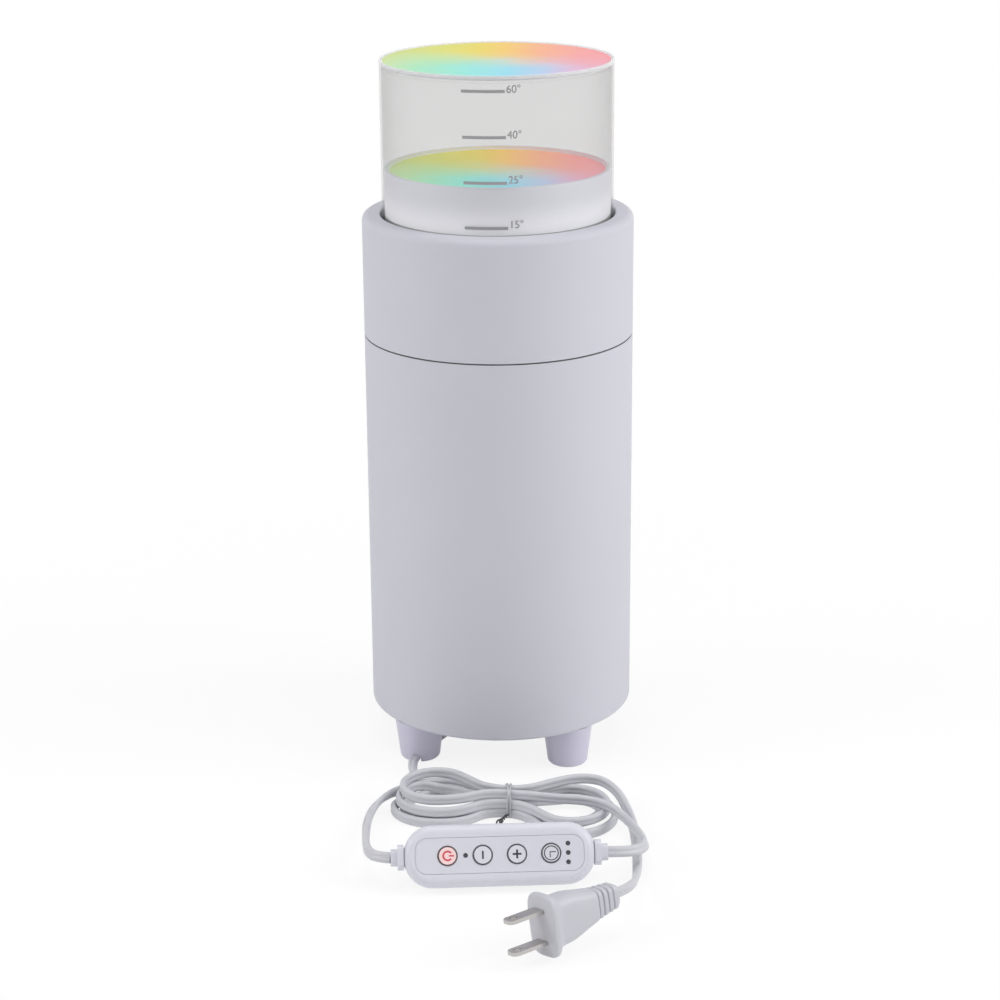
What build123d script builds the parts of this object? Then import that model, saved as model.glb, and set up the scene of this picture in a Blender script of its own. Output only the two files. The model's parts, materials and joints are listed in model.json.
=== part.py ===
"""Cylindrical floor uplighter with a sliding beam sleeve, an in-line controller and a tied mains cord.

Millimetres. The floor is z = 0, the lamp's axis is the Z axis and the front faces -Y.
"""
import os
from math import atan2, cos, degrees, pi, radians, sin, sqrt, tan

from build123d import *

os.makedirs("parts", exist_ok=True)

# Driving dimensions: lamp
BODY_RADIUS = 60.0
BODY_WALL = 2.4
SHELL_HEIGHT = 174.4
COLLAR_HEIGHT = 54.1
COLLAR_RIM_FILLET = 3.0
COLLAR_TOP_THICKNESS = 4.0
COLLAR_RIM_WIDTH = 8.1
SLEEVE_WALL = 0.9
SLEEVE_SHOWN = 67.3
SLEEVE_RAISE = 17.0
SLEEVE_LOWER = 40.5
RIM_OPENING_GAP = 0.8
DRUM_SHOWN = 20.0
DRUM_WALL = 1.6
LENS_THICKNESS = 1.6
FOOT_HEIGHT = 19.5
FOOT_INSET = 12.0
FOOT_TOP_RADIUS = 11.3
FOOT_TIP_RADIUS = 8.9
FEET_TURN = -6.3
FOOT_COUNT = 4
NOTCHED_FOOT = 4
NOTCH_FRONT = (4.8, 4.1, -15.8)
NOTCH_BACK = (6.6, 5.4, -39.0)
NOTCH_BEND = (0.86, 1.2)

# Driving dimensions: controller, plug and cord
CONTROLLER_LENGTH = 78.4
CONTROLLER_WIDTH = 25.5
CONTROLLER_THICKNESS = 12.0
CONTROLLER_CORNER = 11.8
CONTROLLER_EDGE = 3.6
CONTROLLER_LEAN = 62.0
CONTROLLER_YAW = 2.7
CONTROLLER_REST = (-1.3, -161.4)
BUTTON_RADIUS = 3.9
BUTTON_PROUD = 0.4
BUTTON_TRAVEL = 0.6
BUTTON_PLACES = {"power": -21.4, "dimmer": -7.0, "brighter": 7.0, "timer": 21.0}
LIGHT_PLACES = ((-14.0, 0.0), (28.0, 3.8), (28.0, 0.0), (28.0, -3.8))
PLUG_FACE = (14.6, -222.0)
PLUG_YAW = 37.0
PLUG_ROLL = 11.5
PLUG_TAIL_RISE = 2.0
PLUG_FLANGE = (25.4, 17.0, 4.2)
PLUG_LENGTH = 37.0
BLADE_SPACING = 12.7
BLADE_WIDTH = 6.35
BLADE_THICKNESS = 1.52
BLADE_REACH = 15.9
CORD_DIAMETER = 3.6
HANK_CENTRE = (1.5, -95.0)
HANK_HALF_LENGTH = 48.5
HANK_LOBE_RADIUS = 16.0
HANK_WAIST = 2.4
HANK_PITCH = 4.4
HANK_LAYER = 4.1
TIE_WIRE = 1.0

# Clearances
SLIDE_GAP = 0.4
DRUM_GAP = 0.4
FIT_GAP = 0.2
BUTTON_GAP = 0.3
LAY_GAP = 0.05
STOP_GAP = 0.5
TIE_GAP = 0.15

cord_radius = CORD_DIAMETER / 2
shell_bottom = FOOT_HEIGHT
shell_top = shell_bottom + SHELL_HEIGHT
collar_top = shell_top + COLLAR_HEIGHT
sleeve_top = collar_top + SLEEVE_SHOWN
drum_top = collar_top + DRUM_SHOWN
body_inner = BODY_RADIUS - BODY_WALL
opening_radius = BODY_RADIUS - COLLAR_RIM_WIDTH
sleeve_radius = opening_radius - RIM_OPENING_GAP
sleeve_inner = sleeve_radius - SLEEVE_WALL
drum_radius = sleeve_inner - DRUM_GAP
drum_inner = drum_radius - DRUM_WALL


def save(name, shape):
    export_step(shape, f"parts/{name}.step")


def ring(outer, inner, bottom, top):
    """Plain tube standing on the lamp's axis between two heights."""
    height = top - bottom
    body = Pos(0, 0, bottom) * Cylinder(outer, height, align=(Align.CENTER, Align.CENTER, Align.MIN))
    bore = Pos(0, 0, bottom) * Cylinder(inner, height, align=(Align.CENTER, Align.CENTER, Align.MIN))
    return body - bore


def post(x, y, bottom, top, radius):
    """Upright cylinder between two heights."""
    return Pos(x, y, bottom) * Cylinder(radius, top - bottom, align=(Align.CENTER, Align.CENTER, Align.MIN))


def around(radius, count, turn):
    """Points evenly spaced on a circle about the lamp's axis, counted from the front."""
    places = []
    for index in range(count):
        angle = radians(turn + 360 * index / count)
        places.append((radius * sin(angle), -radius * cos(angle)))
    return places


def screw(x, y, head_face, tip, head_radius, head_height, shank_radius):
    """Pan-head screw with a cross recess; the shank runs from the head's inner face to the tip."""
    up = 1 if tip > head_face else -1
    shank = post(x, y, min(head_face, tip), max(head_face, tip), shank_radius)
    crown = head_face - up * head_height
    head = post(x, y, min(head_face, crown), max(head_face, crown), head_radius)
    slot = Box(head_radius * 1.1, head_radius * 0.28, head_height)
    cross = slot + Rot(0, 0, 90) * slot
    return shank + head - Pos(x, y, crown) * cross


def top_edges(shape, height):
    """Circular edges lying in one level plane, widest last."""
    level = [edge for edge in shape.edges().filter_by(GeomType.CIRCLE) if abs(edge.center().Z - height) < 1e-3]
    return sorted(level, key=lambda edge: edge.radius)


# Lower shell: a moulded can with four bosses for the base and four pillars for the chassis deck.
base_thickness = 3.0
base_top = shell_bottom + base_thickness
boss_radius = 4.5
boss_circle = body_inner - boss_radius + 0.6
boss_height = 16.0
sleeve_low = collar_top - COLLAR_TOP_THICKNESS - 6.0 - SLEEVE_RAISE - STOP_GAP
stop_height = 6.0
stop_bottom = sleeve_low - stop_height
deck_thickness = 3.0
deck_top = stop_bottom - SLEEVE_LOWER - 18.0
deck_bottom = deck_top - deck_thickness
pillar_height = 22.0
boss_places = around(boss_circle, FOOT_COUNT, FEET_TURN)
screw_shank = 1.4
screw_head = 2.8
screw_head_height = 1.6
seam_chamfer = 0.5

shell = ring(BODY_RADIUS, body_inner, shell_bottom, shell_top)
shell = fillet(top_edges(shell, shell_bottom)[-1], 1.6)
shell = chamfer(top_edges(shell, shell_top)[-1], seam_chamfer)
inside = post(0, 0, shell_bottom, shell_top, body_inner + BODY_WALL / 2)
for x, y in boss_places:
    low_boss = post(x, y, base_top, base_top + boss_height, boss_radius)
    low_boss -= post(x, y, base_top, base_top + boss_height - 2, screw_shank + 0.05)
    pillar = post(x, y, deck_bottom - pillar_height, deck_bottom, boss_radius)
    pillar -= post(x, y, deck_bottom - pillar_height + 2, deck_bottom, screw_shank + 0.05)
    shell += (low_boss + pillar) & inside

# Collar: the upper trim ring that plugs into the shell and frames the opening.
collar_inner = body_inner
spigot_depth = 9.0
spigot_outer = body_inner - FIT_GAP
spigot_inner = spigot_outer - 2.0
collar_ceiling = collar_top - COLLAR_TOP_THICKNESS
collar = ring(BODY_RADIUS, collar_inner, shell_top, collar_ceiling)
collar += ring(BODY_RADIUS, opening_radius, collar_ceiling, collar_top)
collar = fillet(top_edges(collar, collar_top)[-1], COLLAR_RIM_FILLET)
collar = fillet(top_edges(collar, collar_top)[0], 0.8)
collar = chamfer(top_edges(collar, shell_top)[-1], seam_chamfer)
collar += ring(collar_inner + 0.5, spigot_inner, shell_top, shell_top + 4)
collar += ring(spigot_outer, spigot_inner, shell_top - spigot_depth, shell_top + 4)
bead_height = shell_top - spigot_depth * 0.55
for index in range(FOOT_COUNT):
    turn = Rot(0, 0, 90 * index + 45)
    collar += turn * Pos(spigot_outer, 0, bead_height) * Box(1.4, 9, 2)
    shell -= turn * Pos(body_inner, 0, bead_height) * Box(2.0, 9.4, 2.4)
save("lower_shell", shell)

# Glide ring: the low-friction bush that guides the sleeve just under the collar's lip.
glide_height = 6.0
glide_bottom = collar_ceiling - glide_height
glide_inner = sleeve_radius + SLIDE_GAP
glide_outer = collar_inner - FIT_GAP
glide_ring = ring(glide_outer, glide_inner, glide_bottom, collar_ceiling)
glide_places = around((glide_inner + glide_outer) / 2, FOOT_COUNT, 20)
glide_screws = []
for x, y in glide_places:
    glide_ring -= post(x, y, glide_bottom, glide_bottom + 2.0, 2.3)
    glide_ring -= post(x, y, glide_bottom, collar_ceiling, 1.15)
    collar -= post(x, y, collar_ceiling, collar_ceiling + 2.6, 1.05)
    glide_screws.append(screw(x, y, glide_bottom + 2.0, collar_ceiling + 2.4, 2.0, 1.5, 1.0))
save("collar", collar)
save("glide_ring", glide_ring)
save("glide_screws", Compound(children=glide_screws))

# Base plate: closes the can, carries the feet and the cord gland.
foot_places = around(BODY_RADIUS - FOOT_INSET, FOOT_COUNT, FEET_TURN + 45)
foot_shank = 1.7
foot_boss_height = 9.0
gland_place = (3.0, 6.0)
gland_hole = 6.0
base_recess = 1.4
base_screw_reach = 10.0
base = post(0, 0, shell_bottom, base_top, body_inner - FIT_GAP)
base_screws = []
for x, y in boss_places:
    base -= post(x, y, shell_bottom, shell_bottom + base_recess, screw_head + 2 * FIT_GAP)
    base -= post(x, y, shell_bottom, base_top, screw_shank + 0.2)
    head_face = shell_bottom + base_recess
    base_screws.append(screw(x, y, head_face, base_top + base_screw_reach, screw_head, base_recess - 0.1, screw_shank))
for x, y in foot_places:
    base += post(x, y, base_top, base_top + foot_boss_height, 4.2)
    base -= post(x, y, shell_bottom, base_top + foot_boss_height - 1.5, foot_shank + 0.1)
for index in range(5):
    slot = Pos(0, 21 + 5 * index, shell_bottom + base_thickness / 2) * Box(26, 2.2, base_thickness)
    base -= slot
base -= post(*gland_place, shell_bottom, base_top, gland_hole)
save("base_plate", base)
save("base_screws", Compound(children=base_screws))

# Feet: four tapered plastic feet, each held by one recessed screw. The cord runs through a notch in one:
# a snug slot at the front, and a wider one at the back that turns towards the gland.
recess_radius = 4.2
recess_depth = 9.0
tip_rounding = 2.2
foot_screws = []
slots = []
for side, (width, height, turn) in ((-1, NOTCH_FRONT), (1, NOTCH_BACK)):
    slot = Box(width, 2 * FOOT_TOP_RADIUS, 2 * height)
    slot = Pos(0, side * (FOOT_TOP_RADIUS - 1.5), 0) * fillet(slot.edges().filter_by(Axis.Y), width / 3)
    slots.append(Pos(*NOTCH_BEND) * Rot(0, 0, turn) * slot)
for number, (x, y) in enumerate(foot_places, start=1):
    foot = Pos(0, 0, FOOT_HEIGHT / 2) * Cone(FOOT_TIP_RADIUS, FOOT_TOP_RADIUS, FOOT_HEIGHT)
    foot = fillet(top_edges(foot, 0)[-1], tip_rounding)
    foot -= post(0, 0, 0, recess_depth, recess_radius)
    foot -= post(0, 0, 0, FOOT_HEIGHT, foot_shank + 0.1)
    if number == NOTCHED_FOOT:
        foot -= slots
    save(f"foot_{number}", Pos(x, y, 0) * foot)
    foot_screws.append(screw(x, y, recess_depth, base_top + foot_boss_height - 2.5, 3.4, 1.8, foot_shank))
save("foot_screws", Compound(children=foot_screws))

# Chassis deck: carries the light drum above and the driver board below.
board_size = (64.0, 46.0, 1.6)
board_drop = 14.0
board_top = deck_bottom - board_drop
board_bottom = board_top - board_size[2]
standoff_places = [(sx * (board_size[0] / 2 - 4), sy * (board_size[1] / 2 - 4)) for sx in (-1, 1) for sy in (-1, 1)]
wire_places = ((-28.0, 5.6), (-28.0, -5.6))
flange_inner = drum_inner - 6.0
sink_screw_inset = 19.3
sink_screw_reach = 9.0
deck_screw_reach = 12.0
sink_places = around(flange_inner - sink_screw_inset, 3, 60)
deck = post(0, 0, deck_bottom, deck_top, body_inner - FIT_GAP)
deck_screws = []
drum_screws = []
sink_screws = []
driver_screws = []
for x, y in boss_places:
    deck -= post(x, y, deck_bottom, deck_top, screw_shank + 0.2)
    tip = deck_bottom - deck_screw_reach
    deck_screws.append(screw(x, y, deck_top, tip, screw_head, screw_head_height, screw_shank))
flange_thickness = 5.0
drum_screw_places = around(drum_inner - 3.0, 4, 45)
for x, y in drum_screw_places:
    deck -= post(x, y, deck_bottom, deck_top, 1.3)
    drum_screws.append(screw(x, y, deck_bottom, deck_top + flange_thickness - 1.2, 2.4, 1.5, 1.1))
for x, y in sink_places:
    deck -= post(x, y, deck_bottom, deck_top, 1.7)
    tip = deck_top + sink_screw_reach
    sink_screws.append(screw(x, y, deck_bottom, tip, screw_head, screw_head_height, screw_shank + 0.1))
for x, y in standoff_places:
    deck += post(x, y, board_top, deck_bottom, 3.0)
    deck -= post(x, y, board_top, deck_bottom - 3, 1.1)
    driver_screws.append(screw(x, y, board_bottom, board_top + 6, 2.2, 1.4, 1.0))
for x, y in wire_places:
    deck -= post(x, y, deck_bottom, deck_top, 1.6)
save("chassis_deck", deck)
save("deck_screws", Compound(children=deck_screws))
save("drum_screws", Compound(children=drum_screws))
save("sink_screws", Compound(children=sink_screws))
save("driver_screws", Compound(children=driver_screws))

# Driver board with its tall parts on the lower face.
driver = Pos(0, 0, board_bottom + board_size[2] / 2) * Box(*board_size)
for x, y in standoff_places:
    driver -= post(x, y, board_bottom, board_top, 1.2)
save("driver_board", driver)
terminal_x = -27.0
terminal_drop = 10.0
block_places = (
    (-12.0, 4.0, 20.0, 22.0, 18.0),
    (12.0, 10.0, 14.0, 12.0, 12.0),
    (26.0, -4.0, 4.0, 5.0, 9.0),
    (26.0, -12.0, 4.0, 5.0, 9.0),
    (terminal_x, 0.0, 7.0, 14.0, terminal_drop),
)
can_places = ((12.0, -8.0, 5.0, 20.0), (25.0, 8.0, 4.0, 14.0))
tall_parts = []
for x, y, length, width, tall in block_places:
    tall_parts.append(Pos(x, y, board_bottom - tall / 2) * Box(length, width, tall))
for x, y, radius, tall in can_places:
    tall_parts.append(post(x, y, board_bottom - tall, board_bottom, radius))
save("driver_parts", Compound(children=tall_parts))

# Light drum: the fixed opaque barrel whose rim is the pointer for the sleeve's marks.
disc_recess = 1.4
disc_thickness = 2.0
ledge_top = drum_top - disc_recess - disc_thickness
ledge_bottom = ledge_top - 2.0
ledge_inner = drum_inner - 2.4
drum = ring(drum_radius, drum_inner, deck_top, drum_top)
drum = fillet(top_edges(drum, drum_top)[-1], 0.6)
drum += ring(drum_inner + 0.4, ledge_inner, ledge_bottom, ledge_top)
drum += ring(drum_inner + 0.4, flange_inner, deck_top, deck_top + flange_thickness)
for x, y in drum_screw_places:
    drum -= post(x, y, deck_top, deck_top + flange_thickness - 1, 1.15)
save("light_drum", drum)
save("drum_disc", post(0, 0, ledge_top, ledge_top + disc_thickness, drum_inner - FIT_GAP))

# Heat sink, light board and reflector stand inside the drum.
sink_radius = flange_inner - 1.0
fin_height = 36.0
plate_thickness = 4.0
sink_top = deck_top + fin_height + plate_thickness
core_radius = 14.0
sink = post(0, 0, deck_top, sink_top, core_radius)
sink += post(0, 0, deck_top + fin_height, sink_top, sink_radius)
fin_count = 18
fin_thickness = 1.8
fin_start = core_radius - 2.75
fin_end = sink_radius - 0.25
for index in range(fin_count):
    fin = Box(fin_end - fin_start, fin_thickness, fin_height)
    fin = Pos((fin_start + fin_end) / 2, 0, deck_top + fin_height / 2) * fin
    sink += Rot(0, 0, 360 * (index + 0.5) / fin_count) * fin
for x, y in sink_places:
    sink += post(x, y, deck_top, deck_top + 12, 3.2)
    sink -= post(x, y, deck_top, deck_top + 10, 1.6)
for x, y in wire_places:
    sink -= post(x, y, deck_top, sink_top, 1.6)
save("heat_sink", sink)
light_top = sink_top + 1.6
light_board = post(0, 0, sink_top, light_top, sink_radius)
save("light_board", light_board)
chip_size = 5.0
chip_height = 1.6
chip_ring = 11.0
chip = Pos(0, 0, light_top + chip_height / 2) * Box(chip_size, chip_size, chip_height)
lights = [chip]
for number in (1, 2):
    for x, y in around(number * chip_ring, 6 * number, 15):
        lights.append(Pos(x, y, 0) * Rot(0, 0, degrees(atan2(y, x))) * chip)
save("light_chips", Compound(children=lights))
cup_low = sink_radius - 9.0
cup_high = ledge_inner - 1.4
cup_wall = 1.4
cup_rim = ledge_bottom - 1.2
with BuildPart() as reflector_part:
    with BuildSketch(Plane.XZ):
        with BuildLine():
            Polyline(
                (cup_low, light_top),
                (cup_low + cup_wall, light_top),
                (cup_high + cup_wall, cup_rim),
                (drum_inner - FIT_GAP, cup_rim),
                (drum_inner - FIT_GAP, ledge_bottom),
                (cup_high, ledge_bottom),
                close=True,
            )
        make_face()
    revolve(axis=Axis.Z)
save("reflector", reflector_part.part)
led_wires = [post(x, y, board_top, sink_top, 1.2) for x, y in wire_places]
save("led_wires", Compound(children=led_wires))

# Beam sleeve: the clear graduated tube with its lens and the stop ring that keeps it in the collar.
lens_recess = 0.5
lens_bottom = sleeve_top - lens_recess - LENS_THICKNESS
lip_height = 1.2
lip_inner = sleeve_inner - 1.4
stop_lip = 1.6
sleeve_bottom = stop_bottom + stop_lip
sleeve = ring(sleeve_radius, sleeve_inner, sleeve_bottom, sleeve_top)
sleeve = fillet(top_edges(sleeve, sleeve_top), SLEEVE_WALL / 3)
sleeve += ring(sleeve_inner + 0.4, lip_inner, lens_bottom - lip_height, lens_bottom)
save("beam_sleeve", sleeve)
save("beam_lens", post(0, 0, lens_bottom, lens_bottom + LENS_THICKNESS, sleeve_inner - FIT_GAP))
stop_outer = spigot_inner - 0.9
stop_ring = ring(stop_outer, sleeve_radius + 0.1, sleeve_bottom, sleeve_low)
stop_ring += ring(stop_outer, sleeve_inner, stop_bottom, sleeve_bottom)
save("stop_ring", stop_ring)

# Cord gland: a right-angle strain relief through the base plate, pointing to the left front.
gland_heading = Vector(-0.747, -0.665, 0).normalized()
nozzle_height = 11.0
nozzle_reach = 17.0
gland_axis = Plane((*gland_place, nozzle_height), x_dir=(0, 0, 1), z_dir=gland_heading)
gland = post(*gland_place, nozzle_height - 5.5, base_top + 4, gland_hole - FIT_GAP)
gland += post(*gland_place, base_top, base_top + 3, gland_hole + 3)
gland += post(*gland_place, shell_bottom - 3, shell_bottom, gland_hole + 2)
nozzle = Pos(0, 0, nozzle_reach / 2) * Cone(5.2, 3.2, nozzle_reach)
for index in range(4):
    nozzle -= Pos(0, 0, 7.5 + 2.4 * index) * (Cylinder(6, 0.9) - Cylinder(3.0, 0.9))
gland += gland_axis.location * nozzle
save("cord_gland", gland)
tail_top = board_bottom - terminal_drop
tail_points = [
    (*gland_place, base_top + 4),
    (*gland_place, base_top + 16),
    (-4, 2, base_top + 44),
    (-22, -4, tail_top - 30),
    (terminal_x, 0, tail_top - 12),
    (terminal_x, 0, tail_top),
]


def route(points):
    """Straight runs joined by the widest tangent arcs that leave some of every run straight."""
    spots = [Vector(*point) for point in points]
    bends = []
    for before, corner, after in zip(spots, spots[1:], spots[2:]):
        arrive = corner - before
        leave = after - corner
        turn = radians(arrive.get_angle(leave))
        bends.append(0.45 * min(arrive.length, leave.length) / tan(turn / 2))
    return FilletPolyline(*spots, radius=bends), min(bends)


def tube(path, radius):
    """Round cord swept along a path from its start."""
    section = Plane(path @ 0, z_dir=path % 0) * Circle(radius)
    return sweep(section, path=path)


def report_tube(name, body, path, radius, tightest):
    expected = pi * radius * radius * path.length
    print(f"{name}: length {path.length:.1f} tightest bend {tightest:.1f} volume ratio {body.volume / expected:.4f}")


def lay_cord(name, points, radius):
    path, tightest = route(points)
    body = tube(path, radius)
    report_tube(name, body, path, radius, tightest)
    save(name, body)


lay_cord("mains_tail", tail_points, cord_radius)

# Cord hank: three turns of a dog-bone loop in two layers, tied at the waist.
hank_x, hank_y = HANK_CENTRE
hank_low = TIE_WIRE + TIE_GAP + cord_radius
hank_high = hank_low + HANK_LAYER
hank_crest = hank_high + HANK_LAYER
lobe_offset = HANK_HALF_LENGTH - HANK_LOBE_RADIUS - HANK_PITCH
waist_radius = (lobe_offset**2 + HANK_WAIST**2 - HANK_LOBE_RADIUS**2) / (2 * (HANK_LOBE_RADIUS - HANK_WAIST))
joint_angle = degrees(atan2(HANK_WAIST + waist_radius, lobe_offset))
JOIN_ANGLE = 120.0


def lobe_spot(side, angle, step, height):
    """Point and heading on the left (-1) or right (+1) lobe, going anticlockwise from above."""
    reach = HANK_LOBE_RADIUS + step * HANK_PITCH
    turn = radians(angle)
    spot = Vector(hank_x + side * lobe_offset + reach * cos(turn), hank_y + reach * sin(turn), height)
    return spot, Vector(-sin(turn), cos(turn), 0)


def waist_spot(side, step, height, drift=0.0):
    """Point and heading where a strand passes the tie at the back (+1) or the front (-1)."""
    spot = Vector(hank_x, hank_y + side * (HANK_WAIST + step * HANK_PITCH), height)
    run = lobe_offset - HANK_LOBE_RADIUS * cos(radians(joint_angle))
    return spot, Vector(-side, 0.2 * drift * HANK_PITCH / run, 0).normalized()


def hank_turn(step, drift, heights):
    """Stations of one turn: left lobe, front run, right lobe and a back run that drifts to the next turn."""
    left, front, right, back = heights
    return [
        lobe_spot(-1, JOIN_ANGLE, step, left),
        lobe_spot(-1, 180, step, left),
        lobe_spot(-1, 270, step, left),
        lobe_spot(-1, 360 - joint_angle, step, left),
        waist_spot(-1, step, front),
        lobe_spot(1, 180 + joint_angle, step, right),
        lobe_spot(1, 270, step, right),
        lobe_spot(1, 0, step, right),
        lobe_spot(1, 90, step + 0.1 * drift, right),
        lobe_spot(1, 180 - joint_angle, step + 0.3 * drift, right),
        waist_spot(1, step + 0.5 * drift, back, drift),
        lobe_spot(-1, joint_angle, step + 0.7 * drift, back),
    ]


def biarc(start, leaving, end, arriving):
    """Two tangent arcs between a pair of points with given headings."""
    span = end - start
    total = leaving + arriving
    bend = 2 * (1 - leaving.dot(arriving))
    along = span.dot(total)
    if bend < 1e-9:
        reach = span.dot(span) / (2 * along)
    else:
        reach = (sqrt(along**2 + bend * span.dot(span)) - along) / bend
    first = start + leaving * reach
    second = end - arriving * reach
    middle = (first + second) * 0.5
    heading = (second - first).normalized()
    return [TangentArc(start, middle, tangent=leaving), TangentArc(middle, end, tangent=heading)]


middle_height = (hank_low + hank_high) / 2
stations = hank_turn(1, -1, (hank_low, hank_low, hank_low, hank_low))[1:]
stations += hank_turn(0, 1, (hank_low, middle_height, hank_high, hank_high))
stations += hank_turn(1, 1, (hank_high, hank_high, hank_high, hank_high))
stations.append(lobe_spot(-1, JOIN_ANGLE, 2, hank_high))
arcs = []
for (start, leaving), (end, arriving) in zip(stations, stations[1:]):
    arcs += biarc(start, leaving, end, arriving)
hank_path = Wire(arcs)
hank = tube(hank_path, cord_radius)
report_tube("cord_hank", hank, hank_path, cord_radius, min(arc.radius for arc in arcs))
save("cord_hank", hank)
samples = []
travelled = 0.0
for arc in arcs:
    count = max(3, int(arc.length / 1.5))
    for index in range(count):
        samples.append((travelled + arc.length * index / count, arc @ (index / count)))
    travelled += arc.length
least = min(
    (spot - other).length
    for index, (reached, spot) in enumerate(samples)
    for later, other in samples[index + 1 :]
    if later - reached > 6 * CORD_DIAMETER
)
print(f"hank least self-gap {least - CORD_DIAMETER:.2f}")

# Lamp lead: from the gland to the floor, through the notched foot, into the hank's outer turn.
floor_height = cord_radius + LAY_GAP
hank_start, start_heading = stations[0]
hank_end, end_heading = stations[-1]
exit_point = Vector(*gland_place, nozzle_height) + gland_heading * nozzle_reach
lead_points = [
    exit_point,
    exit_point + gland_heading * 7,
    (-22.5, -15.4, 7.4),
    (-30.3, -21.0, 2.9),
    (-36.6, -28.8, floor_height),
    (-41.0, -44.4, floor_height),
    (-42.2, -57.0, floor_height),
    (-44.4, -69.0, floor_height + 0.3),
    hank_start - start_heading * 13,
    hank_start,
]
lay_cord("lamp_lead", [tuple(Vector(*point)) for point in lead_points], cord_radius)

# Controller frame: it rests on its lower back edge and leans back towards the lamp.
lean = radians(CONTROLLER_LEAN)
half_width = CONTROLLER_WIDTH / 2
half_thickness = CONTROLLER_THICKNESS / 2
drop = (half_width - CONTROLLER_EDGE) * sin(lean) + (half_thickness - CONTROLLER_EDGE) * cos(lean) + CONTROLLER_EDGE
back = (half_width - CONTROLLER_EDGE) * cos(lean) - (half_thickness - CONTROLLER_EDGE) * sin(lean)
yaw = radians(CONTROLLER_YAW)
along = Vector(cos(yaw), sin(yaw), 0)
face_normal = Vector(sin(lean) * sin(yaw), -sin(lean) * cos(yaw), cos(lean))
controller_centre = Vector(
    CONTROLLER_REST[0] - back * sin(yaw), CONTROLLER_REST[1] + back * cos(yaw), drop + LAY_GAP
)
controller_place = Plane(controller_centre, x_dir=along, z_dir=face_normal).location


def slab(length, width, corner, low, high):
    """Rounded rectangle between two levels of the controller."""
    plan = RectangleRounded(length, width, corner)
    return Pos(0, 0, low) * extrude(plan, high - low)


case_wall = 1.8
panel_thickness = 0.6
panel_length = CONTROLLER_LENGTH - 9.2
panel_width = CONTROLLER_WIDTH - 10.7
panel_corner = 5.0
ceiling = half_thickness - panel_thickness - 1.4
case = slab(CONTROLLER_LENGTH, CONTROLLER_WIDTH, CONTROLLER_CORNER, -half_thickness, half_thickness)
case = fillet(case.edges().filter_by(Plane.XY), CONTROLLER_EDGE)
hollow_length = CONTROLLER_LENGTH - 2 * case_wall
hollow_width = CONTROLLER_WIDTH - 2 * case_wall
floor_level = -half_thickness + case_wall
hollow = slab(hollow_length, hollow_width, CONTROLLER_CORNER - case_wall, floor_level, ceiling)
hollow = fillet(hollow.edges().filter_by(Plane.XY), CONTROLLER_EDGE - case_wall)
case -= hollow
half_space = Pos(0, 0, half_thickness) * Box(2 * CONTROLLER_LENGTH, 2 * CONTROLLER_WIDTH, CONTROLLER_THICKNESS)
case_front = case & half_space
case_back = case - half_space
neck = (8.0, 6.0)
neck_hole = Box(2 * CONTROLLER_LENGTH, *neck)
case_front -= neck_hole
case_back -= neck_hole
case_front -= slab(panel_length, panel_width, panel_corner, half_thickness - panel_thickness, half_thickness)
panel = slab(panel_length - 0.3, panel_width - 0.3, panel_corner - 0.15, half_thickness - panel_thickness, half_thickness)
board_level = -2.2
control_board = slab(58, 19, 2, board_level, board_level + 1.2)
board_face = board_level + 1.2
case_screws = []
boss_reach = (CONTROLLER_LENGTH / 2 - 6.8, CONTROLLER_WIDTH / 2 - 5.35)
for x in (-boss_reach[0], boss_reach[0]):
    for y in (-boss_reach[1], boss_reach[1]):
        boss = post(x, y, 0, ceiling, 2.4) - post(x, y, 0, ceiling - 1.0, 0.95)
        case_front += boss
        case_back += post(x, y, floor_level, 0, 2.4)
        case_back -= post(x, y, -half_thickness, -half_thickness + 3.0, 2.2)
        case_back -= post(x, y, -half_thickness, 0, 1.05)
        case_screws.append(screw(x, y, -half_thickness + 3.0, ceiling - 1.4, 1.9, 1.2, 0.9))
for x in (-25, 25):
    case_back += post(x, 0, floor_level, board_level, 2.0)
switches = []
buttons = {}
switch_height = 1.8
flange_radius = BUTTON_RADIUS + 1.0
for name, x in BUTTON_PLACES.items():
    hole = post(x, 0, ceiling, half_thickness, BUTTON_RADIUS + BUTTON_GAP)
    case_front -= hole
    panel -= hole
    cap = post(x, 0, ceiling - 1.0, half_thickness + BUTTON_PROUD, BUTTON_RADIUS)
    cap = fillet(top_edges(cap, half_thickness + BUTTON_PROUD)[-1], 0.25)
    cap += post(x, 0, ceiling - 1.0, ceiling, flange_radius)
    plunger_top = board_face + switch_height + 0.5
    cap += post(x, 0, plunger_top + BUTTON_TRAVEL + 0.1, ceiling - 1.0, 1.4)
    buttons[name] = cap
    body = Pos(x, 0, board_face + switch_height / 2) * Box(4.6, 4.6, switch_height)
    switches.append(body + post(x, 0, board_face + switch_height, plunger_top, 1.1))
light_pipes = []
for x, y in LIGHT_PLACES:
    hole = post(x, y, ceiling, half_thickness, 1.0)
    case_front -= hole
    panel -= hole
    light_pipes.append(post(x, y, board_face, half_thickness, 0.9))
save("controller_front", controller_place * case_front)
save("controller_back", controller_place * case_back)
save("controller_panel", controller_place * panel)
save("controller_board", controller_place * control_board)
save("controller_switches", controller_place * Compound(children=switches))
save("controller_lights", controller_place * Compound(children=light_pipes))
save("controller_screws", controller_place * Compound(children=case_screws))
for name, cap in buttons.items():
    save(f"button_{name}", controller_place * cap)

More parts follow.
